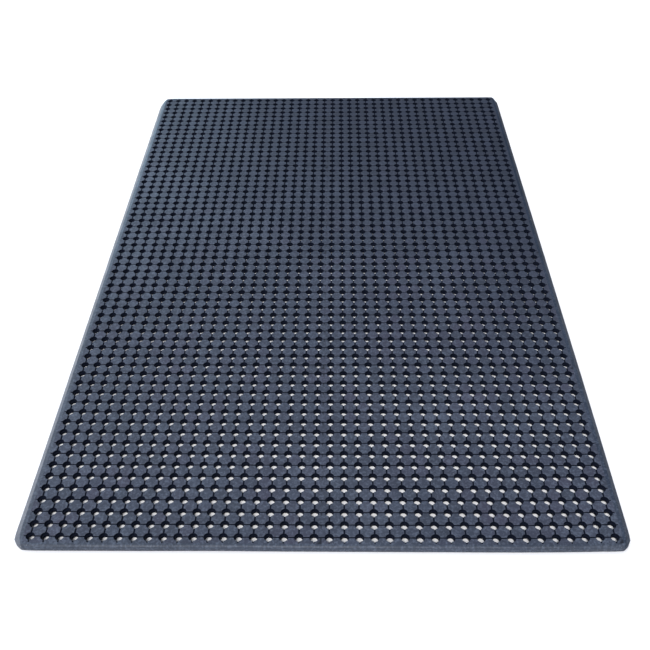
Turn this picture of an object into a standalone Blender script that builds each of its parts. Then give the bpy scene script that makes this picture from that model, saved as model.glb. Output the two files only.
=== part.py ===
"""Anti-fatigue mat: one moulded rubber sheet, 0.99 m by 1.50 m and 12 mm thick, that lies flat on a floor.

The sheet is modelled as its tread, in four panels that meet along the lines between rows of drain holes, and
its solid border, as a strip along each side. The long strips slope down to the floor and carry the rounded
corners. The short strips are upright with a rounded top edge. The tread's drain holes and grooves are finer
than these solids, so each panel is plain here and keeps the mat's outer size and its contact faces.

Metres, +Z up. The origin is on the floor under the mat's centre, +X runs across the mat and +Y along it.
"""

import math

import bmesh
import bpy

# Driving dimensions.
WIDTH = 0.992  # measured on the floor, as is the length
LENGTH = 1.498
THICKNESS = 0.012
HOLE_PITCH = 0.024
HOLE_COLUMNS = 40
PANEL_ROWS = (16, 15, 15, 16)  # rows of drain holes in each tread panel, front to back
RAMP_RUN = 0.010  # how far the long edges lean in on their way up
END_ROUNDING = 0.004  # radius of the short edges' top
CORNER_RADIUS = 0.018  # in plan, at the floor
GAP = 0.0003  # between neighbouring solids

# The tread reaches half a pitch past its outermost holes, and the border is what is left round it.
TREAD_WIDTH = HOLE_COLUMNS * HOLE_PITCH
TREAD_LENGTH = sum(PANEL_ROWS) * HOLE_PITCH

CORNER_STEPS = 8  # straight pieces in each rounded corner
ROUNDING_STEPS = 4  # straight pieces up the short edges' rounding
BEYOND = 0.05  # how far a region reaches past the sheet, so that only the sheet's own faces bound it there

PANEL_NAMES = ("tread_panel_front", "tread_panel_mid_front", "tread_panel_mid_back", "tread_panel_back")

RUBBER_COLOR = (0.028, 0.033, 0.045, 1.0)
RUBBER_ROUGHNESS = 0.62


def clear_scene():
    for leftover in list(bpy.data.objects):
        bpy.data.objects.remove(leftover)


def rubber_material(name, lightening=1.0):
    """Matt vulcanised rubber. The border's smooth moulded skin is a little lighter than the tread."""
    material = bpy.data.materials.new(name)
    material.use_nodes = True
    shader = material.node_tree.nodes["Principled BSDF"]
    red, green, blue, alpha = RUBBER_COLOR
    shader.inputs["Base Color"].default_value = (red * lightening, green * lightening, blue * lightening, alpha)
    shader.inputs["Roughness"].default_value = RUBBER_ROUGHNESS
    shader.inputs["Metallic"].default_value = 0.0
    return material


def edge_levels():
    """(height, lean of the long edges, lean of the short edges) from the floor up to the standing face."""
    levels = [(0.0, 0.0, 0.0)]
    for step in range(ROUNDING_STEPS + 1):
        angle = math.radians(90) * step / ROUNDING_STEPS
        height = THICKNESS - END_ROUNDING * (1 - math.sin(angle))
        levels.append((height, RAMP_RUN * height / THICKNESS, END_ROUNDING * (1 - math.cos(angle))))
    return levels


def outline(height, side_lean, end_lean):
    """The sheet's outline at one height, as points counter-clockwise from its right edge's back end."""
    centre_x = WIDTH / 2 - CORNER_RADIUS
    centre_y = LENGTH / 2 - CORNER_RADIUS
    points = []
    for quarter, (sign_x, sign_y) in enumerate(((1, 1), (-1, 1), (-1, -1), (1, -1))):
        for step in range(CORNER_STEPS + 1):
            angle = math.radians(90) * (quarter + step / CORNER_STEPS)
            x = sign_x * centre_x + (CORNER_RADIUS - side_lean) * math.cos(angle)
            y = sign_y * centre_y + (CORNER_RADIUS - end_lean) * math.sin(angle)
            points.append((x, y, height))
    return points


def moulding_object():
    """The whole sheet as one closed solid. It is the stock that every region is cut from."""
    mesh = bpy.data.meshes.new("moulding")
    shape = bmesh.new()
    loops = [[shape.verts.new(point) for point in outline(*level)] for level in edge_levels()]
    count = len(loops[0])
    shape.faces.new(reversed(loops[0]))
    for lower, upper in zip(loops, loops[1:]):
        for i in range(count):
            j = (i + 1) % count
            shape.faces.new((lower[i], lower[j], upper[j], upper[i]))
    shape.faces.new(loops[-1])
    bmesh.ops.recalc_face_normals(shape, faces=shape.faces)
    shape.to_mesh(mesh)
    shape.free()
    moulding = bpy.data.objects.new("moulding", mesh)
    bpy.context.scene.collection.objects.link(moulding)
    moulding.hide_render = True
    moulding.display_type = "WIRE"
    return moulding


def box_mesh(name, low, high):
    mesh = bpy.data.meshes.new(name)
    shape = bmesh.new()
    bmesh.ops.create_cube(shape, size=1.0)
    for vert in shape.verts:
        for axis in range(3):
            vert.co[axis] = low[axis] if vert.co[axis] < 0 else high[axis]
    shape.to_mesh(mesh)
    shape.free()
    return mesh


def region(name, x_range, y_range, moulding, material):
    """One named part of the sheet: what the moulding holds inside a block of the plan, less half a gap each side."""
    half_gap = GAP / 2
    low = (x_range[0] + half_gap, y_range[0] + half_gap, -BEYOND)
    high = (x_range[1] - half_gap, y_range[1] - half_gap, THICKNESS + BEYOND)
    part = bpy.data.objects.new(name, box_mesh(name, low, high))
    bpy.context.scene.collection.objects.link(part)
    cut = part.modifiers.new("keep_inside_the_moulding", "BOOLEAN")
    cut.operation = "INTERSECT"
    cut.solver = "EXACT"
    cut.object = moulding
    part.data.materials.append(material)
    return part


def tread_panels(moulding, material):
    start = -TREAD_LENGTH / 2
    for name, rows in zip(PANEL_NAMES, PANEL_ROWS):
        end = start + rows * HOLE_PITCH
        region(name, (-TREAD_WIDTH / 2, TREAD_WIDTH / 2), (start, end), moulding, material)
        start = end


def border_strips(moulding, material):
    """The long strips run the full length, so they hold the corners. The short ones fit between them."""
    inner_x, outer_x = TREAD_WIDTH / 2, WIDTH / 2 + BEYOND
    inner_y, outer_y = TREAD_LENGTH / 2, LENGTH / 2 + BEYOND
    region("border_left", (-outer_x, -inner_x), (-outer_y, outer_y), moulding, material)
    region("border_right", (inner_x, outer_x), (-outer_y, outer_y), moulding, material)
    region("border_front", (-inner_x, inner_x), (-outer_y, -inner_y), moulding, material)
    region("border_back", (-inner_x, inner_x), (inner_y, outer_y), moulding, material)


clear_scene()
stock = moulding_object()
tread_panels(stock, rubber_material("tread_rubber"))
border_strips(stock, rubber_material("border_rubber", lightening=1.15))
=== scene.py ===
import math

import bmesh
import bpy
import numpy as np
from mathutils import Matrix, Vector


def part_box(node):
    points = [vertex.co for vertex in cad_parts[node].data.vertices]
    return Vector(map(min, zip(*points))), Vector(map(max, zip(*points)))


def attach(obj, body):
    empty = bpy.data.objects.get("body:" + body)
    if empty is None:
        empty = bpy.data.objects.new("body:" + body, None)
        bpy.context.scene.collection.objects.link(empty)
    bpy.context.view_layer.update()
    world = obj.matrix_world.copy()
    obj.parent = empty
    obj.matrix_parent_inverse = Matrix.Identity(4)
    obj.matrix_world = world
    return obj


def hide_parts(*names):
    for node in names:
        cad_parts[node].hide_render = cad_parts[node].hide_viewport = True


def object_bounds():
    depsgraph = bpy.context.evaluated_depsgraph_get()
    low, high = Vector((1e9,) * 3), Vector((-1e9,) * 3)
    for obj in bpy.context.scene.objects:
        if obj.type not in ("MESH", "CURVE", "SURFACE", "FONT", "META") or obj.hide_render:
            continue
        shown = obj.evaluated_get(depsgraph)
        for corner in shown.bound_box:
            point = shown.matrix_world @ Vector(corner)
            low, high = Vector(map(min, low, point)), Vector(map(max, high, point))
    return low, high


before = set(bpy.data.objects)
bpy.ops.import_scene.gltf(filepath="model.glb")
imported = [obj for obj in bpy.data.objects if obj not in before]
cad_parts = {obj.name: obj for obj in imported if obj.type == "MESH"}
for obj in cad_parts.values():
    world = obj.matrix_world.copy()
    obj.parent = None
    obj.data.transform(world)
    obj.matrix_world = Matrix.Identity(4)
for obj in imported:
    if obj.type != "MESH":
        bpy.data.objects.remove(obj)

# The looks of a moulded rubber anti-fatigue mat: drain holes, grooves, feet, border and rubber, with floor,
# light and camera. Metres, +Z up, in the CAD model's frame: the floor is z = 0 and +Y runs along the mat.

CAD_LOW, CAD_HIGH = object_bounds()
MM = 0.001

# The sheet. Its outer size is the CAD model's.
HALF_WIDTH = CAD_HIGH.x
HALF_LENGTH = CAD_HIGH.y
TOP = CAD_HIGH.z
PITCH = 24 * MM  # between neighbouring drain holes, both ways
HALF_CELL = PITCH / 2
COLUMNS = 40
ROWS = 62
TREAD_HALF_WIDTH = COLUMNS * HALF_CELL
TREAD_HALF_LENGTH = ROWS * HALF_CELL

# A drain hole. It is wide between the tiles, down to a ledge, and narrower through the base. Grooves join it
# to its neighbours: narrow ones run across the mat and slightly wider ones along it.
HOLE_RADIUS = 7.3 * MM
LEDGE_DEPTH = 4.8 * MM
DRAIN_TOP_RADIUS = 5.7 * MM
DRAIN_RADIUS = 5.5 * MM
ACROSS_HALF = 1.0 * MM
ALONG_HALF = 1.3 * MM
GROOVE_DEPTH = 2.2 * MM
STUB_END = 10.5 * MM  # from the outermost holes' centres to the ends of their grooves
LIP = 0.5 * MM  # radius of the rounded edge round every tile
FLAT_BAND = 0.25 * MM  # keeps the shading of a tile's top flat beside its rounded edge
ARC_STEPS = 6  # straight pieces in a quarter of a hole's rim
LIP_STEPS = 3
LIP_RECESS = 0.5  # recess at the foot of the rounded edge, which sets how much painted shade it takes
STUB_STEPS = 3
DEEP = 0.6  # faces whose points recede more than this, on average, belong to the recesses and their painted shade
SHARP_ANGLE = 35  # degrees between faces, past which the shading breaks

# The underside stands on a round foot under the middle of every tile.
UNDERSIDE = 2.2 * MM
FOOT_RADIUS = 4.2 * MM
FOOT_EASE = 0.3 * MM
FOOT_STEPS = 2

# The border: a slope down to the floor along the long edges, an upright wall at the short ones.
CORNER_RADIUS = 18 * MM
RAMP_RUN = 10 * MM
TOE = 1.2 * MM  # height of the slope's lower edge
RAMP_ROUNDING = 1.5 * MM
END_ROUNDING = 4 * MM
EDGE_EASE = 0.35 * MM  # chamfer along the border's lower edge
SLOPE_SHARES = (0.0, 0.33, 0.66)  # where the slope has points, from its toe up
RAMP_ROUNDING_STEPS = 4
END_ROUNDING_STEPS = 6
CORNER_STEPS = 6
WELD = 0.01 * MM  # points closer than this are one point

# How the sheet lies: rolled and folded in storage, it is neither quite flat nor quite square on the floor.
# Places and reaches are given as x across the sheet and y along it.
FRONT_CURL = 2.9 * MM
FRONT_CURL_REACH = 55 * MM
FRONT_HUMP = 1.0 * MM
FRONT_HUMP_X = -170 * MM
FRONT_HUMP_REACH = 75 * MM
SWELL = 1.2 * MM
SWELL_PLACE = (-120 * MM, 270 * MM)
SWELL_REACH = (250 * MM, 200 * MM)
CREASE = 0.5 * MM
CREASE_YS = (-366 * MM, 0.0, 375 * MM)
CREASE_REACH = 12 * MM

# How far it has slipped or shrunk in its own plane. Pulls are towards the middle, and given as x and y.
MIDDLE_SLACK = 2.0 * MM  # outwards, halfway from the middle to either side
MIDDLE_SLACK_PLACE = 250 * MM  # from the front edge, where it is most
MIDDLE_SLACK_REACH = 280 * MM
FRONT_SLACK = 2.2 * MM
SLACK_REACH = 150 * MM  # from the front edge
EDGE_REACH = (50 * MM, 220 * MM)  # from the long edges: full pulls up to the first, none past the second
LEFT_CORNER_PULL = (2.0 * MM, 1.1 * MM)
RIGHT_CORNER_PULL = (3.2 * MM, 3.1 * MM)
RIGHT_RIM_SHARE = 0.7  # of the right corner's pull along the sheet, at the front rim itself
RIGHT_EDGE_PULL = 0.7 * MM
FRONT_RIM = 4 * MM  # how deep the rims are that hold their place while the rubber behind them slips
LEFT_RIM = 6 * MM
CORNER_REACH = 20 * MM
BACK_LEFT_PULL = (4.0 * MM, 4.0 * MM)
FRONT_CORNERS_PULL = (2.6 * MM, 1.56 * MM)

TREAD_PIECES = (
    ("tread_panel_front", "tread_front"),
    ("tread_panel_mid_front", "tread_mid_front"),
    ("tread_panel_mid_back", "tread_mid_back"),
    ("tread_panel_back", "tread_back"),
)

# The studio's own light, which comes from all round.
LEFT_SIDE = (1.34, 1.46, 1.62, 1.0)
RIGHT_SIDE = (0.34, 0.37, 0.42, 1.0)
LEFTWARDS = (-0.95, 0.3, 0.0)
SIDE_RANGE = (-0.42, 0.48)  # how far leftwards light comes from, where it is all one side's
BACK_RANGE = (0.45, 0.9)  # how far backwards it comes from, where it starts to dim and where it is dimmest
BACK_DIMMING = 0.12  # the share of the light that is left there
BACKDROP = (0.93, 0.94, 0.96, 1.0)

# The lamps, the floor and the camera.
KEY_TOWARD = (-0.10, -0.62, 1.0)
KEY_STRENGTH = 2.4
KEY_SPREAD = 18.0  # degrees
KEY_COLOR = (1.0, 0.97, 0.94)
SOFTBOX_PLACE = (-1.5, 2.1, 0.95)
SOFTBOX_TARGET = (-0.2, 0.3, 0.0)
SOFTBOX_SIZE = (1.8, 1.0)
SOFTBOX_POWER = 18.0
SOFTBOX_COLOR = (0.55, 0.80, 1.0)
FLOOR_RADIUS = 9.0
FLOOR_SIDES = 96
FLOOR_COLOR = (0.86, 0.86, 0.88, 1.0)
FLOOR_ROUGHNESS = 0.9
FLOOR_SPECULAR = 0.1
CAMERA_PLACE = (0.0252, -1.4093, TOP + 1.1032)
CAMERA_TURN = 1.244  # degrees to the left of straight along the mat
CAMERA_DIP = 43.204  # degrees below level
CAMERA_ROLL = -0.876
SENSOR_WIDTH = 36.0  # millimetres, as is the focal length
FOCAL_LENGTH = 43.55
CLIP_RANGE = (0.05, 50.0)

# Colours of the rubber and of what lies on it.
TILE_DARK = (0.011, 0.0155, 0.029, 1.0)
TILE_LIGHT = (0.016, 0.0225, 0.042, 1.0)
TILE_VIOLET = (0.024, 0.020, 0.043, 1.0)
VIOLET_FADE = (-0.25, 0.45, 1.0, 0.15)  # from where to where along the sheet, and the violet's shares there
# Painted shade: the recesses' colours are far darker than the rubber's and stand in for the shade inside the
# holes and grooves; the dustier one is that painted shade under a little dust.
RECESS_SHADE = (0.002, 0.0042, 0.012, 1.0)
RECESS_SHADE_DUSTY = (0.005, 0.008, 0.019, 1.0)
BORDER_DARK = (0.009, 0.015, 0.028, 1.0)
BORDER_LIGHT = (0.016, 0.024, 0.044, 1.0)
DUST = (0.12, 0.145, 0.20, 1.0)
PALE_SPECK = (0.42, 0.42, 0.42, 1.0)
RECESS_ROUGHNESS = 0.72
RECESS_SPECULAR = 0.12
RECESS_SHADE_BLEND = (0.1, 0.5)  # recess at which a tile's face starts to take the recesses' painted shade, and has it
TILE_ROUGHNESS = (0.50, 0.66)  # from the glossiest places to the dullest
TILE_SPECULAR = 0.42
# Painted highlight and shade: the left border is glossier and more reflective than the right one, and the
# front and back lie between.
BORDER_LIT_GLOSS = (0.28, 0.42, 0.70)  # roughness from the glossiest places to the dullest, and specular level
BORDER_HALF_LIT_GLOSS = (0.46, 0.60, 0.42)
BORDER_SHADED_GLOSS = (0.62, 0.74, 0.20)
DUST_EVEN = 0.045  # shares of dust over the rubber, where each kind is thickest
DUST_PATCHES = 0.07
DUST_MOTTLE = 0.08
DUST_GRAIN = 0.18
PAINTED_LIGHT_WAY = (-0.66, -0.75, 0.0)
DUST_AND_PAINTED_LIGHT_SPREAD = (-0.60, 0.15, 0.15, 1.55)  # from where to where that way, and how much dust there is there, which paints light and shade
SCUFFS = 0.30
SPECKS = 0.45
EDGE_WEAR = 0.25
VIOLET_SHARES = (0.10, 0.75)

# Where such things lie, as noise: how fine it is per metre, its detail, and the values between which it goes
# from nothing to its most.
PATCHES_NOISE = (5.5, 4.0, 0.50, 0.72)
MOTTLE_NOISE = (140.0, 2.0, 0.46, 0.70)
GRAIN_NOISE = (280.0, 2.0, 0.47, 0.68)
EDGE_WEAR_NOISE = (170.0, 3.0, 0.40, 0.70)
VIOLET_NOISE = (9.0, 2.0, 0.42, 0.64)
TILE_GLOSS_NOISE = (40.0, 4.0, 0.3, 0.7)
RECESS_DUST_NOISE = (60.0, 3.0, 0.3, 0.7)
BORDER_TONE_NOISE = (14.0, 4.0, 0.35, 0.70)
BORDER_GLOSS_NOISE = (30.0, 4.0, 0.3, 0.7)

# Scuffs: how fine along x, y and z, and the values as above. Specks: spacing, size, and the share of places
# with one. Relief: layers of how fine, detail and depth, the coarse ones first.
SCUFF_DETAIL = 5.0
SCUFFS_ALONG = ((260.0, 26.0, 26.0), 0.66, 0.80)
SCUFFS_ACROSS = ((22.0, 240.0, 22.0), 0.68, 0.82)
FINE_SPECKS = (5 * MM, 0.55 * MM, 0.30)
LARGE_SPECKS = (23 * MM, 1.1 * MM, 0.22)
SPECK_CORE = 0.4  # of a speck's radius, within which it is palest
FAINT_SPECKS = 0.05  # share of places with a fainter speck
TILE_RELIEF = ((260.0, 2.0, 0.45 * MM), (900.0, 3.0, 0.20 * MM))
RECESS_RELIEF = ((900.0, 2.0, 0.05 * MM),)
BORDER_RELIEF = ((45.0, 2.0, 0.15 * MM), (1300.0, 3.0, 0.04 * MM))


# ---------------------------------------------------------------------------------------- mesh building

class Shell:
    """Points and faces of a surface while it is being built. Each point is x, y, z, recess and edge: recess
    goes from 0 on the standing face to 1 in the holes, and edge is 1 on a tile's rounded edge."""

    def __init__(self):
        self.points = []
        self.faces = []

    def row(self, points):
        first = len(self.points)
        self.points.extend(points)
        return list(range(first, len(self.points)))

    def strip(self, inner, outer):
        """Quads between two rows. They face up where both rows run counter-clockwise round a hole."""
        for i in range(len(inner) - 1):
            self.faces.append((inner[i], outer[i], outer[i + 1], inner[i + 1]))

    def face(self, *indices):
        self.faces.append(indices)


def turned(shell, turn):
    result = Shell()
    cosine, sine = ((1, 0), (0, 1), (-1, 0), (0, -1))[turn % 4]
    result.points = [
        (x * cosine - y * sine, x * sine + y * cosine, *rest) for x, y, *rest in shell.points
    ]
    result.faces = list(shell.faces)
    return result


def joined(shells):
    result = Shell()
    for shell in shells:
        first = len(result.points)
        result.points.extend(shell.points)
        result.faces.extend(tuple(first + i for i in face) for face in shell.faces)
    return result


# ---------------------------------------------------------------------------------------- tread

def lip_levels():
    """(distance outside the wall, height, recess, edge) down a tile's rounded edge."""
    levels = [(LIP + FLAT_BAND, TOP, 0.0, 0.0)]
    for step in range(LIP_STEPS + 1):
        angle = math.radians(90) * step / LIP_STEPS
        down = LIP * (1 - math.cos(angle))
        levels.append((LIP * (1 - math.sin(angle)), TOP - down, LIP_RECESS * step / LIP_STEPS, 1.0))
    return levels


def arm_end(half, is_open):
    """The far end of a groove's side, `half` from its centre line: at the cell's edge, or a closed end."""
    if is_open:
        return [(HALF_CELL, half)]
    centre = STUB_END - ACROSS_HALF
    angles = [math.radians(90) * step / STUB_STEPS for step in range(STUB_STEPS + 1)]
    return [(centre + half * math.cos(angle), half * math.sin(angle)) for angle in angles]


def arc(radius, half_x, half_y):
    """A quarter circle round a hole, from the side of the +X groove to that of the +Y one."""
    start = math.asin(half_x / radius)
    sweep = math.radians(90) - start - math.asin(half_y / radius)
    angles = [start + sweep * step / ARC_STEPS for step in range(ARC_STEPS + 1)]
    return [(radius * math.cos(angle), radius * math.sin(angle)) for angle in angles]


def rim_curve(offset, quarter):
    """A quarter of the edge round a hole and its grooves, from the +X groove round to the +Y one."""
    half_x, half_y = quarter.half_x + offset, quarter.half_y + offset
    across = [(y, x) for x, y in reversed(arm_end(half_y, quarter.open_y))]
    return arm_end(half_x, quarter.open_x) + arc(HOLE_RADIUS + offset, half_x, half_y) + across


def drain_circle(radius, quarter):
    """A quarter of the drain's wall, with its points in line with those of the rim above."""
    return [(radius, 0.0)] + arc(radius, quarter.half_x, quarter.half_y) + [(0.0, radius)]


def foot_arc(radius):
    angles = [math.radians(180 + 90 * step / FOOT_STEPS) for step in range(FOOT_STEPS + 1)]
    return [(HALF_CELL + radius * math.cos(a), HALF_CELL + radius * math.sin(a)) for a in angles]


class Quarter:
    """What differs between a cell's quarters: whether the +X and +Y grooves run on, and their widths."""

    def __init__(self, turn, open_sides):
        self.open_x, self.open_y = open_sides[turn], open_sides[(turn + 1) % 4]
        self.half_x, self.half_y = (ACROSS_HALF, ALONG_HALF) if turn % 2 == 0 else (ALONG_HALF, ACROSS_HALF)


def ledge_and_grooves(shell, quarter, rim):
    """The walls below the rim, and the floors of the grooves. Gives the row round the ledge's outer side."""
    floor_z, ledge_z = TOP - GROOVE_DEPTH, TOP - LEDGE_DEPTH

    def points_at(height, places):
        return shell.row([(x, y, height, 1.0, 0.0) for x, y in places])

    def floor_and_ledge(place):
        return points_at(floor_z, [place]) + points_at(ledge_z, [place])

    curve = rim_curve(0.0, quarter)
    begin = len(arm_end(quarter.half_x, quarter.open_x))  # where the hole's own arc begins on the rim
    end = begin + ARC_STEPS
    groove_x, groove_y = points_at(floor_z, curve[:begin + 1]), points_at(floor_z, curve[end:])
    low = points_at(ledge_z, curve[begin:end + 1])
    mouth_x = floor_and_ledge((curve[begin][0], 0.0))
    mouth_y = floor_and_ledge((0.0, curve[end][1]))
    end_x = points_at(floor_z, [(HALF_CELL, 0.0)]) if quarter.open_x else []
    end_y = points_at(floor_z, [(0.0, HALF_CELL)]) if quarter.open_y else []

    shell.strip(groove_x, rim[:begin + 1])
    shell.strip(groove_y, rim[end:])
    shell.face(low[0], groove_x[-1], rim[begin], rim[begin + 1], low[1])
    shell.strip(low[1:-1], rim[begin + 1:end])
    shell.face(low[-2], rim[end - 1], rim[end], groove_y[0], low[-1])
    shell.face(mouth_x[0], *end_x, *groove_x)
    shell.face(mouth_y[0], *groove_y, *end_y)
    shell.face(groove_x[-1], low[0], mouth_x[1], mouth_x[0])
    shell.face(mouth_y[0], mouth_y[1], low[-1], groove_y[0])
    return [mouth_x[1], *low, mouth_y[1]]


def quarter_cell(quarter):
    """A quarter of the rubber round one drain hole: X and Y from the hole's centre to the next tile's."""
    shell = Shell()
    rims = [
        shell.row([(x, y, z, recess, edge) for x, y in rim_curve(offset, quarter)])
        for offset, z, recess, edge in lip_levels()
    ]
    for outer, inner in zip(rims, rims[1:]):
        shell.strip(inner, outer)

    corner = shell.row([(HALF_CELL, HALF_CELL, TOP, 0.0, 0.0)])
    beside_x = [] if quarter.open_x else shell.row([(HALF_CELL, 0.0, TOP, 0.0, 0.0)])
    beside_y = [] if quarter.open_y else shell.row([(0.0, HALF_CELL, TOP, 0.0, 0.0)])
    shell.face(*reversed(rims[0]), *beside_x, *corner, *beside_y)

    ledge = ledge_and_grooves(shell, quarter, rims[-1])
    upper, under = (
        shell.row([(x, y, z, 1.0, 0.0) for x, y in drain_circle(radius, quarter)])
        for radius, z in ((DRAIN_TOP_RADIUS, TOP - LEDGE_DEPTH), (DRAIN_RADIUS, UNDERSIDE))
    )
    shell.strip(upper, ledge)
    shell.strip(under, upper)

    foot_rows = [
        shell.row([(x, y, z, 1.0, 0.0) for x, y in foot_arc(radius)])
        for radius, z in ((FOOT_RADIUS, UNDERSIDE), (FOOT_RADIUS, FOOT_EASE), (FOOT_RADIUS - FOOT_EASE, 0.0))
    ]
    shell.strip(foot_rows[0], foot_rows[1])
    shell.strip(foot_rows[1], foot_rows[2])
    sole = shell.row([(HALF_CELL, HALF_CELL, 0.0, 1.0, 0.0)])
    shell.face(*sole, *reversed(foot_rows[2]))
    sides = shell.row([(0.0, HALF_CELL, UNDERSIDE, 1.0, 0.0), (HALF_CELL, 0.0, UNDERSIDE, 1.0, 0.0)])
    shell.face(*under, sides[0], *foot_rows[0], sides[1])
    return shell


def cell_side(quarter):
    """The cut face at a cell's +X side, which closes a piece where the next piece begins."""
    foot = [(FOOT_RADIUS - FOOT_EASE, 0.0), (FOOT_RADIUS, FOOT_EASE), (FOOT_RADIUS, UNDERSIDE)]
    bottom = [(HALF_CELL, 0.0)] + [(HALF_CELL - reach, z) for reach, z in foot]
    top = [(0.0, TOP)]
    if quarter.open_x:
        groove = [(quarter.half_x + offset, z) for offset, z, *_ in lip_levels()]
        groove.append((quarter.half_x, TOP - GROOVE_DEPTH))
        top = groove + [(0.0, TOP - GROOVE_DEPTH)] + [(-y, z) for y, z in reversed(groove)]
    outline = [(-y, z) for y, z in bottom] + [(0.0, UNDERSIDE)] + list(reversed(bottom))
    outline += [(HALF_CELL, TOP)] + top + [(-HALF_CELL, TOP)]
    shell = Shell()
    shell.face(*shell.row([(HALF_CELL, y, z, 1.0, 0.0) for y, z in outline]))
    return shell


def whole_cell(open_sides, cut_sides):
    """The rubber round one drain hole. open_sides says on which of +X, +Y, -X and -Y its grooves run on into
    the next cell, and cut_sides where the piece ends."""
    parts = []
    for turn in range(4):
        quarter = Quarter(turn, open_sides)
        parts.append(turned(quarter_cell(quarter), turn))
        if cut_sides[turn]:
            parts.append(turned(cell_side(quarter), turn))
    return joined(parts)


def tread_shells(columns, rows):
    """(cell, centres) for every kind of cell in a block of the tread."""
    kinds = {}
    for row in rows:
        for column in columns:
            open_sides = (column < COLUMNS - 1, row < ROWS - 1, column > 0, row > 0)
            cut_sides = (column == columns[-1], row == rows[-1], column == columns[0], row == rows[0])
            x = column * PITCH + HALF_CELL - TREAD_HALF_WIDTH
            y = row * PITCH + HALF_CELL - TREAD_HALF_LENGTH
            kinds.setdefault((open_sides, cut_sides), []).append((x, y))
    return [(whole_cell(*kind), centres) for kind, centres in kinds.items()]


# ---------------------------------------------------------------------------------------- border

def side_profile():
    """(lean, height) up a long edge: its toe, its slope, the rounding at the top and a narrow flat band."""
    slope = math.atan2(TOP - TOE, RAMP_RUN)
    tangent = RAMP_ROUNDING * math.tan(slope / 2)
    begin = (RAMP_RUN - tangent * math.cos(slope), TOP - tangent * math.sin(slope))
    points = [(EDGE_EASE, 0.0), (0.0, EDGE_EASE)]
    points += [(begin[0] * share, TOE + (begin[1] - TOE) * share) for share in SLOPE_SHARES]
    for step in range(RAMP_ROUNDING_STEPS + 1):
        angle = slope * (1 - step / RAMP_ROUNDING_STEPS)
        points.append((
            RAMP_RUN + tangent - RAMP_ROUNDING * math.sin(angle),
            TOP - RAMP_ROUNDING * (1 - math.cos(angle)),
        ))
    points.append((RAMP_RUN + tangent + 2 * FLAT_BAND, TOP))
    return points


def end_profile():
    """(lean, height) up a short edge, point for point with side_profile."""
    wall = TOP - END_ROUNDING
    points = [(EDGE_EASE, 0.0), (0.0, EDGE_EASE), (0.0, wall / 2)]
    for step in range(END_ROUNDING_STEPS + 1):
        angle = math.radians(90) * step / END_ROUNDING_STEPS
        points.append((END_ROUNDING * (1 - math.cos(angle)), wall + END_ROUNDING * math.sin(angle)))
    points.append((END_ROUNDING + FLAT_BAND, TOP))
    return points


def corner_angles(side_lean, end_lean):
    """Where the +X +Y corner's ellipse, leant in by so much, passes the tread's edges."""
    across = TREAD_HALF_WIDTH - (HALF_WIDTH - CORNER_RADIUS)
    along = TREAD_HALF_LENGTH - (HALF_LENGTH - CORNER_RADIUS)
    return math.asin(along / (CORNER_RADIUS - end_lean)), math.acos(across / (CORNER_RADIUS - side_lean))


def corner_station(fraction):
    """The border's profile at the tread's +X +Y corner: fraction 0 in line with its end, 1 with its side."""
    points = []
    for (side_lean, side_z), (end_lean, end_z) in zip(side_profile(), end_profile()):
        begin, end = corner_angles(side_lean, end_lean)
        points.append(corner_point(begin + (end - begin) * fraction, side_lean, side_z, end_lean, end_z))
    return (TREAD_HALF_WIDTH, TREAD_HALF_LENGTH), points


def corner_point(angle, side_lean, side_z, end_lean, end_z):
    x = HALF_WIDTH - CORNER_RADIUS + (CORNER_RADIUS - side_lean) * math.cos(angle)
    y = HALF_LENGTH - CORNER_RADIUS + (CORNER_RADIUS - end_lean) * math.sin(angle)
    return x, y, side_z * math.cos(angle) ** 2 + end_z * math.sin(angle) ** 2


def side_station(y):
    """The border's profile beside the tread's right edge, at y of 0 or more."""
    points = []
    beyond = y - (HALF_LENGTH - CORNER_RADIUS)
    for (side_lean, side_z), (end_lean, end_z) in zip(side_profile(), end_profile()):
        if beyond > 0:
            angle = math.asin(beyond / (CORNER_RADIUS - end_lean))
            points.append(corner_point(angle, side_lean, side_z, end_lean, end_z))
        else:
            points.append((HALF_WIDTH - side_lean, y, side_z))
    return (TREAD_HALF_WIDTH, y), points


def end_station(x):
    """The border's profile beyond the tread's back edge, at x of 0 or more."""
    return (x, TREAD_HALF_LENGTH), [(x, HALF_LENGTH - lean, z) for lean, z in end_profile()]


def flipped(station, flip_x, flip_y):
    (inner_x, inner_y), points = station
    sign_x, sign_y = (-1 if flip_x else 1), (-1 if flip_y else 1)
    return (sign_x * inner_x, sign_y * inner_y), [(sign_x * x, sign_y * y, z) for x, y, z in points]


def without_repeats(shell):
    """The same surface with points at the same place made one, and without the faces that leaves flat."""
    result = Shell()
    numbers = {}
    for point in shell.points:
        key = tuple(round(value / WELD) for value in point[:3])
        if key not in numbers:
            numbers[key] = len(numbers)
            result.points.append(point)
    for face in shell.faces:
        ring = [numbers[tuple(round(value / WELD) for value in shell.points[i][:3])] for i in face]
        ring = [one for one, other in zip(ring, ring[1:] + ring[:1]) if one != other]
        if len(set(ring)) > 2:
            result.face(*ring)
    return result


def border_shell(stations):
    """A closed strip of border through its stations, each an inner point and a profile from the floor up."""
    shell = Shell()
    loops = []
    for (x, y), profile in stations:
        points = [(x, y, 0.0)] + profile + [(x, y, TOP)]
        loops.append(shell.row([(*point, 0.0, 0.0) for point in points]))
    for one, other in zip(loops, loops[1:]):
        for i in range(len(one)):
            j = (i + 1) % len(one)
            shell.face(one[i], one[j], other[j], other[i])
    shell.face(*reversed(loops[0]))
    shell.face(*loops[-1])
    return without_repeats(shell)


def long_border():
    """The right border, from its front corner to its back one."""
    steps = round(TREAD_HALF_LENGTH / HALF_CELL)
    back = [side_station(step * HALF_CELL) for step in range(steps)]
    back += [corner_station(step / CORNER_STEPS) for step in range(CORNER_STEPS + 1)]
    front = [flipped(station, False, True) for station in reversed(back[1:])]
    return front + back


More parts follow.
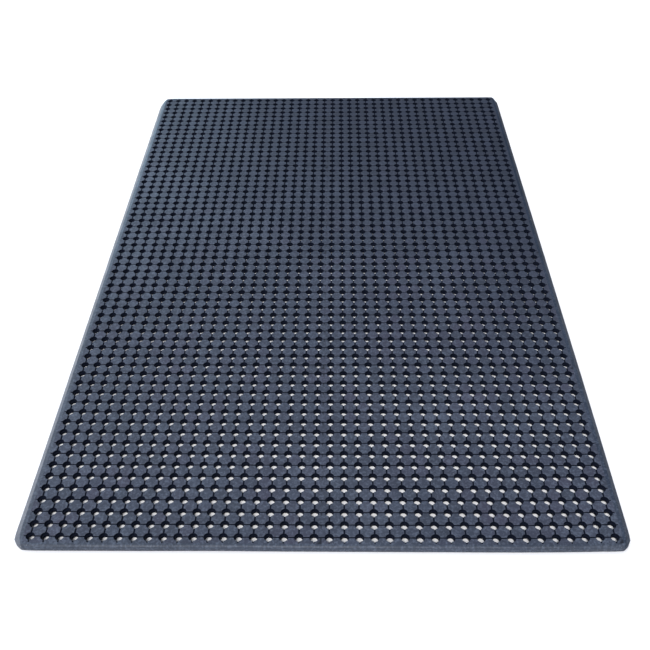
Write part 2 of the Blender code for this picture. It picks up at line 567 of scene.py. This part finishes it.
def short_border():
    """The back border, from the middle of the right corner's end to the left one's."""
    steps = round(TREAD_HALF_WIDTH / HALF_CELL)
    right = [end_station(step * HALF_CELL) for step in range(steps)] + [corner_station(1.0)]
    left = [flipped(station, True, False) for station in right[1:]]
    return list(reversed(right)) + left


# ---------------------------------------------------------------------------------------- pieces

def hill(distance, reach):
    return np.exp(-((distance / reach) ** 2))


def lift(x, y):
    """How far the sheet stands off the floor."""
    from_front = y + HALF_LENGTH
    curl = FRONT_CURL * np.exp(-from_front / FRONT_CURL_REACH)
    hump = FRONT_HUMP * hill(x - FRONT_HUMP_X, FRONT_HUMP_REACH)
    hump = hump * np.exp(-from_front / (2 * FRONT_CURL_REACH))
    swell = SWELL * hill(x - SWELL_PLACE[0], SWELL_REACH[0]) * hill(y - SWELL_PLACE[1], SWELL_REACH[1])
    creases = sum(CREASE * hill(y - place, CREASE_REACH) for place in CREASE_YS)
    return curl + hump + swell + creases


def nearness(x, side):
    """From 0 well inside the sheet to 1 beside its left (-1) or right (1) edge."""
    near, far = EDGE_REACH
    return np.clip((far - HALF_WIDTH + side * x) / (far - near), 0.0, 1.0) ** 2


def at_corner(x, y, side, end):
    """From 0 well away from one of the sheet's corners to 1 at it."""
    return hill(np.hypot(x - side * HALF_WIDTH, y - end * HALF_LENGTH), CORNER_REACH)


def slack(x, y):
    """How far the rubber lies across and along from where it would lie in a square sheet."""
    from_front = y + HALF_LENGTH
    behind_front_rim = 1 - np.exp(-from_front / FRONT_RIM)
    inside_left_rim = 1 - np.exp(-(x + HALF_WIDTH) / LEFT_RIM)
    front = np.exp(-from_front / SLACK_REACH)
    left, right = front * nearness(x, -1) * inside_left_rim, front * nearness(x, 1)
    middle = hill(from_front - MIDDLE_SLACK_PLACE, MIDDLE_SLACK_REACH)

    across = MIDDLE_SLACK * np.sin(math.pi * x / TREAD_HALF_WIDTH) * middle
    across += LEFT_CORNER_PULL[0] * left - RIGHT_CORNER_PULL[0] * right - RIGHT_EDGE_PULL * nearness(x, 1)
    along = behind_front_rim * (FRONT_SLACK * front ** 2 + LEFT_CORNER_PULL[1] * left)
    along += RIGHT_CORNER_PULL[1] * right * (RIGHT_RIM_SHARE + (1 - RIGHT_RIM_SHARE) * behind_front_rim)

    back_left = at_corner(x, y, -1, 1)
    front_left, front_right = at_corner(x, y, -1, -1), at_corner(x, y, 1, -1)
    across += BACK_LEFT_PULL[0] * back_left + FRONT_CORNERS_PULL[0] * (front_left - front_right)
    along += FRONT_CORNERS_PULL[1] * (front_left + front_right) - BACK_LEFT_PULL[1] * back_left
    return across, along


def piece_from(name, shell_groups, node, materials):
    """Makes one piece: every shell at each of its centres, welded where cells meet, lifted and shaded. Its
    materials are that of its face and, for the tread, that of its recesses."""
    points, loops, counts = [], [], []
    first = 0
    for shell, centres in shell_groups:
        base = np.array(shell.points)
        face_points = np.concatenate([np.array(face) for face in shell.faces])
        face_sizes = np.array([len(face) for face in shell.faces])
        for x, y in centres:
            points.append(base + np.array((x, y, 0.0, 0.0, 0.0)))
            loops.append(face_points + first)
            counts.append(face_sizes)
            first += len(base)
    points, loops = welded(np.concatenate(points), np.concatenate(loops))
    mesh = mesh_from(name, points, loops, np.concatenate(counts))
    for material in materials:
        mesh.materials.append(material)
    mesh.shade_smooth()
    mesh.set_sharp_from_angle(angle=math.radians(SHARP_ANGLE))
    piece = bpy.data.objects.new(name, mesh)
    bpy.context.scene.collection.objects.link(piece)
    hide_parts(node)
    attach(piece, "root")
    return piece


def welded(points, loops):
    """Gives points at the same place one index."""
    grid = np.round(points[:, :3] / WELD).astype(np.int64)
    _, kept, index = np.unique(grid, axis=0, return_index=True, return_inverse=True)
    return points[kept], index.reshape(-1)[loops]


def mesh_from(name, points, loops, counts):
    """The mesh as it lies. It remembers where each point was when the sheet was moulded."""
    mesh = bpy.data.meshes.new(name)
    mesh.vertices.add(len(points))
    x, y, z = points[:, :3].T
    across, along = slack(x, y)
    lying = np.stack((x + across, y + along, z + lift(x, y)), axis=1)
    mesh.vertices.foreach_set("co", lying.astype(np.float32).ravel())
    mesh.loops.add(len(loops))
    mesh.loops.foreach_set("vertex_index", loops.astype(np.int32))
    mesh.polygons.add(len(counts))
    mesh.polygons.foreach_set("loop_start", (np.cumsum(counts) - counts).astype(np.int32))
    for column, attribute in ((3, "recess"), (4, "edge")):
        layer = mesh.attributes.new(attribute, "FLOAT", "POINT")
        layer.data.foreach_set("value", points[:, column].astype(np.float32))
    layer = mesh.attributes.new("moulded_place", "FLOAT_VECTOR", "POINT")
    layer.data.foreach_set("vector", points[:, :3].astype(np.float32).ravel())
    recession = np.add.reduceat(points[loops, 3], np.cumsum(counts) - counts) / counts
    mesh.polygons.foreach_set("material_index", (recession > DEEP).astype(np.int32))
    mesh.update(calc_edges=True)
    mesh.validate()
    return mesh


def tread(materials):
    """Two pieces for each CAD panel, either side of the mat's middle. A panel's rows come from its box."""
    for node, name in TREAD_PIECES:
        low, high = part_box(node)
        first, last = (round((y + TREAD_HALF_LENGTH) / PITCH) for y in (low.y, high.y))
        for side, columns in (("left", range(COLUMNS // 2)), ("right", range(COLUMNS // 2, COLUMNS))):
            cells = tread_shells(columns, range(first, last))
            piece_from(f"{name}_{side}", cells, node, materials)


def border_piece(name, stations, node, material):
    """One strip of the border. Its faces may have been flipped on the way, so they are turned outwards."""
    piece = piece_from(name, [(border_shell(stations), [(0.0, 0.0)])], node, [material])
    shape = bmesh.new()
    shape.from_mesh(piece.data)
    bmesh.ops.recalc_face_normals(shape, faces=shape.faces)
    shape.to_mesh(piece.data)
    shape.free()


def border(lit_gloss, half_lit_gloss, shaded_gloss):
    """The left edge is glossier and more reflective, the right one duller, and the others are in between:
    a painted highlight on the left and painted shade on the right.
    """
    right, back = long_border(), short_border()
    left = [flipped(station, True, False) for station in right]
    front = [flipped(station, False, True) for station in back]
    border_piece("border_left_edge", left, "border_left", lit_gloss)
    border_piece("border_front_edge", front, "border_front", half_lit_gloss)
    border_piece("border_back_edge", back, "border_back", half_lit_gloss)
    border_piece("border_right_edge", right, "border_right", shaded_gloss)


# ---------------------------------------------------------------------------------------- materials

class Graph:
    """One material's shader nodes, with short ways to add them. Places are in metres, as moulded."""

    def __init__(self, name):
        self.material = bpy.data.materials.new(name)
        self.material.use_nodes = True
        self.nodes = self.material.node_tree.nodes
        self.links = self.material.node_tree.links
        self.shader = self.nodes["Principled BSDF"]
        self.place = self.add("ShaderNodeAttribute", {}, "Vector", attribute_name="moulded_place")

    def feed(self, socket, value):
        if isinstance(value, bpy.types.NodeSocket):
            self.links.new(value, socket)
        else:
            socket.default_value = value

    def add(self, kind, inputs, output, **settings):
        """A node of this kind, fed by socket name or number. Gives its output socket."""
        node = self.nodes.new(kind)
        for setting, value in settings.items():
            setattr(node, setting, value)
        for socket, value in inputs.items():
            self.feed(node.inputs[socket], value)
        return node.outputs[output]

    def sum(self, one, other):
        return self.add("ShaderNodeMath", {0: one, 1: other}, 0, operation="ADD")

    def times(self, one, other):
        return self.add("ShaderNodeMath", {0: one, 1: other}, 0, operation="MULTIPLY")

    def fit(self, value, low, high, to_low=0.0, to_high=1.0):
        """Carries value from the range low..high to to_low..to_high, and no further."""
        inputs = {"Value": value, "From Min": low, "From Max": high, "To Min": to_low, "To Max": to_high}
        return self.add("ShaderNodeMapRange", inputs, "Result")

    def scaled(self, scale, place=None):
        inputs = {0: place or self.place, 1: scale}
        return self.add("ShaderNodeVectorMath", inputs, 0, operation="MULTIPLY")

    def noise(self, scale, detail=2.0, place=None):
        inputs = {"Vector": place or self.place, "Scale": scale, "Detail": detail}
        return self.add("ShaderNodeTexNoise", inputs, "Fac")

    def pattern(self, noise, to_low=0.0, to_high=1.0):
        """From to_low to to_high over one of the named noises."""
        fineness, detail, low, high = noise
        return self.fit(self.noise(fineness, detail), low, high, to_low, to_high)

    def blend(self, factor, one, other):
        inputs = {"Factor": factor, "A": one, "B": other}
        node = self.nodes.new("ShaderNodeMix")
        node.data_type = "RGBA"
        for socket in node.inputs:
            if socket.enabled and socket.name in inputs:
                self.feed(socket, inputs[socket.name])
        return next(socket for socket in node.outputs if socket.enabled)

    def attribute(self, name):
        return self.add("ShaderNodeAttribute", {}, "Fac", attribute_name=name)

    def tile(self, output):
        """A random value or colour for each tile of the tread. Tiles lie whole pitches from the middle."""
        cell = self.scaled((1 / PITCH, 1 / PITCH, 0.0))
        cell = self.add("ShaderNodeVectorMath", {0: cell, 1: (0.5, 0.5, 0.0)}, 0, operation="ADD")
        cell = self.add("ShaderNodeVectorMath", {0: cell}, 0, operation="FLOOR")
        return self.add("ShaderNodeTexWhiteNoise", {"Vector": cell}, output, noise_dimensions="2D")

    def flecks(self, spacing, size, share):
        """Small round specks at a share of places that lie about `spacing` apart."""
        cells = self.nodes.new("ShaderNodeTexVoronoi")
        cells.inputs["Scale"].default_value = 1 / spacing
        self.feed(cells.inputs["Vector"], self.place)
        spot = self.fit(cells.outputs["Distance"], size / spacing, SPECK_CORE * size / spacing)
        chance = self.add("ShaderNodeSeparateColor", {"Color": cells.outputs["Color"]}, "Red")
        return self.times(spot, self.fit(chance, share, share - FAINT_SPECKS))

    def relief(self, layers):
        """Bumps from layers of noise, each laid over the one before."""
        normal = None
        for fineness, detail, depth in layers:
            inputs = {"Height": self.noise(fineness, detail), "Distance": depth, "Strength": 1.0}
            if normal:
                inputs["Normal"] = normal
            normal = self.add("ShaderNodeBump", inputs, "Normal")
        return normal

    def finish(self, color, roughness, normal, specular):
        self.feed(self.shader.inputs["Base Color"], color)
        self.feed(self.shader.inputs["Roughness"], roughness)
        self.feed(self.shader.inputs["Normal"], normal)
        self.shader.inputs["Specular IOR Level"].default_value = specular
        return self.material


def scuffs(graph, fineness, low, high):
    return graph.fit(graph.noise(1.0, SCUFF_DETAIL, graph.scaled(fineness)), low, high, 0.0, SCUFFS)


def dusted(graph, color):
    """Rubber of this colour under what years underfoot leave: patchy dust, scuffs and pale specks. The dust
    is thickest over the front left of the sheet and thinnest at its back right corner. That spread is
    painted
    light and shade: the pale dust makes the front left lighter and the back right darker."""
    film = graph.sum(DUST_EVEN, graph.times(graph.pattern(PATCHES_NOISE), DUST_PATCHES))
    film = graph.sum(film, graph.times(graph.pattern(MOTTLE_NOISE), DUST_MOTTLE))
    film = graph.sum(film, graph.times(graph.pattern(GRAIN_NOISE), DUST_GRAIN))
    # Painted light and shade: the dust film grows towards the front left and thins towards the back right.
    toward_front_left = graph.add(
        "ShaderNodeVectorMath", {0: graph.place, 1: PAINTED_LIGHT_WAY}, "Value", operation="DOT_PRODUCT"
    )
    film = graph.times(film, graph.fit(toward_front_left, *DUST_AND_PAINTED_LIGHT_SPREAD))
    color = graph.blend(film, color, DUST)
    color = graph.blend(graph.sum(scuffs(graph, *SCUFFS_ALONG), scuffs(graph, *SCUFFS_ACROSS)), color, DUST)
    specks = graph.sum(graph.flecks(*FINE_SPECKS), graph.flecks(*LARGE_SPECKS))
    return graph.blend(graph.times(specks, SPECKS), color, PALE_SPECK)


def tread_face():
    """The tiles' tops. Each took up a little more or less dust and wear than its neighbours."""
    graph = Graph("tread_rubber_face")
    color = graph.blend(graph.tile("Value"), TILE_DARK, TILE_LIGHT)
    tint = graph.add("ShaderNodeSeparateColor", {"Color": graph.tile("Color")}, "Green")
    violet = graph.times(tint, graph.pattern(VIOLET_NOISE, *VIOLET_SHARES))
    along = graph.add("ShaderNodeSeparateXYZ", {"Vector": graph.place}, "Y")
    violet = graph.times(violet, graph.fit(along, *VIOLET_FADE))
    color = dusted(graph, graph.blend(violet, color, TILE_VIOLET))
    wear = graph.times(graph.attribute("edge"), graph.pattern(EDGE_WEAR_NOISE, 0.0, EDGE_WEAR))
    color = graph.blend(wear, color, DUST)
    # Painted shade: down the rounded edge and into the recesses the face takes on the recesses' painted
    # shade.
    depth = graph.fit(graph.attribute("recess"), *RECESS_SHADE_BLEND)
    color = graph.blend(depth, color, RECESS_SHADE)
    roughness = graph.pattern(TILE_GLOSS_NOISE, *TILE_ROUGHNESS)
    return graph.finish(color, roughness, graph.relief(TILE_RELIEF), TILE_SPECULAR)


def tread_recess():
    """The walls of the holes and grooves, in a colour far darker than the rubber's: painted shade."""
    graph = Graph("tread_rubber_recess_painted_shade")
    color = graph.blend(graph.pattern(RECESS_DUST_NOISE), RECESS_SHADE, RECESS_SHADE_DUSTY)
    return graph.finish(color, RECESS_ROUGHNESS, graph.relief(RECESS_RELIEF), RECESS_SPECULAR)


def border_skin(name, smooth, rough, specular):
    """The border's smoother moulded skin, with its roughness between the two values."""
    graph = Graph(name)
    color = dusted(graph, graph.blend(graph.pattern(BORDER_TONE_NOISE), BORDER_DARK, BORDER_LIGHT))
    roughness = graph.pattern(BORDER_GLOSS_NOISE, smooth, rough)
    return graph.finish(color, roughness, graph.relief(BORDER_RELIEF), specular)


# ---------------------------------------------------------------------------------------- stage

def floor():
    bpy.ops.mesh.primitive_circle_add(vertices=FLOOR_SIDES, radius=FLOOR_RADIUS, fill_type="NGON")
    plane = bpy.context.object
    plane.name = "studio_floor"
    material = bpy.data.materials.new("pale_floor")
    material.use_nodes = True
    shader = material.node_tree.nodes["Principled BSDF"]
    shader.inputs["Base Color"].default_value = FLOOR_COLOR
    shader.inputs["Roughness"].default_value = FLOOR_ROUGHNESS
    shader.inputs["Specular IOR Level"].default_value = FLOOR_SPECULAR
    plane.data.materials.append(material)


def lamp(name, kind, power, color, toward):
    """A lamp of this kind, turned so that it shines away from the direction `toward`."""
    light = bpy.data.lights.new(name, kind)
    light.energy = power
    light.color = color
    holder = bpy.data.objects.new(name, light)
    holder.rotation_mode = "QUATERNION"
    holder.rotation_quaternion = Vector(toward).to_track_quat("Z", "Y")
    bpy.context.scene.collection.objects.link(holder)
    return holder


def surroundings():
    """A soft studio, brighter and bluer on its left side than on its right one, and dimmer low down at the
    back. Seen past the floor's edge it is a plain pale backdrop."""
    world = bpy.data.worlds.new("studio")
    world.use_nodes = True
    bpy.context.scene.world = world
    nodes, links = world.node_tree.nodes, world.node_tree.links
    direction = nodes.new("ShaderNodeTexCoord").outputs["Generated"]

    def ranged(value, limits, to_limits):
        node = nodes.new("ShaderNodeMapRange")
        for name, number in zip(("From Min", "From Max", "To Min", "To Max"), limits + to_limits):
            node.inputs[name].default_value = number
        links.new(value, node.inputs["Value"])
        return node.outputs["Result"]

    leftness = nodes.new("ShaderNodeVectorMath")
    leftness.operation = "DOT_PRODUCT"
    leftness.inputs[1].default_value = LEFTWARDS
    links.new(direction, leftness.inputs[0])
    ramp = nodes.new("ShaderNodeMix")
    ramp.data_type = "RGBA"
    ramp.inputs[6].default_value = RIGHT_SIDE
    ramp.inputs[7].default_value = LEFT_SIDE
    links.new(ranged(leftness.outputs["Value"], SIDE_RANGE, (0.0, 1.0)), ramp.inputs[0])
    axes = nodes.new("ShaderNodeSeparateXYZ")
    links.new(direction, axes.inputs["Vector"])
    light, backdrop = nodes["Background"], nodes.new("ShaderNodeBackground")
    either = nodes.new("ShaderNodeMixShader")
    links.new(ramp.outputs[2], light.inputs["Color"])
    links.new(ranged(axes.outputs["Y"], BACK_RANGE, (1.0, BACK_DIMMING)), light.inputs["Strength"])
    backdrop.inputs["Color"].default_value = BACKDROP
    links.new(nodes.new("ShaderNodeLightPath").outputs["Is Camera Ray"], either.inputs["Fac"])
    links.new(light.outputs["Background"], either.inputs[1])
    links.new(backdrop.outputs["Background"], either.inputs[2])
    links.new(either.outputs["Shader"], nodes["World Output"].inputs["Surface"])


def lights():
    surroundings()
    key = lamp("key_light", "SUN", KEY_STRENGTH, KEY_COLOR, KEY_TOWARD)
    key.data.angle = math.radians(KEY_SPREAD)
    back_light = Vector(SOFTBOX_PLACE) - Vector(SOFTBOX_TARGET)
    softbox = lamp("back_left_softbox", "AREA", SOFTBOX_POWER, SOFTBOX_COLOR, back_light)
    softbox.location = SOFTBOX_PLACE
    softbox.data.shape = "RECTANGLE"
    softbox.data.size, softbox.data.size_y = SOFTBOX_SIZE


def camera():
    """Looks down the mat from standing height, a little right of the middle of its front edge."""
    data = bpy.data.cameras.new("camera")
    data.sensor_width = SENSOR_WIDTH
    data.lens = FOCAL_LENGTH
    data.clip_start, data.clip_end = CLIP_RANGE
    view = bpy.data.objects.new("camera", data)
    view.matrix_world = (
        Matrix.Translation(CAMERA_PLACE)
        @ Matrix.Rotation(math.radians(CAMERA_TURN), 4, "Z")
        @ Matrix.Rotation(math.radians(90 - CAMERA_DIP), 4, "X")
        @ Matrix.Rotation(math.radians(CAMERA_ROLL), 4, "Z")
    )
    bpy.context.scene.collection.objects.link(view)
    bpy.context.scene.camera = view


camera()
tread([tread_face(), tread_recess()])
border(
    border_skin("border_rubber_lit_gloss", *BORDER_LIT_GLOSS),
    border_skin("border_rubber_half_lit_gloss", *BORDER_HALF_LIT_GLOSS),
    border_skin("border_rubber_shaded_gloss", *BORDER_SHADED_GLOSS),
)
floor()
lights()
bpy.context.scene.view_settings.view_transform = "Standard"
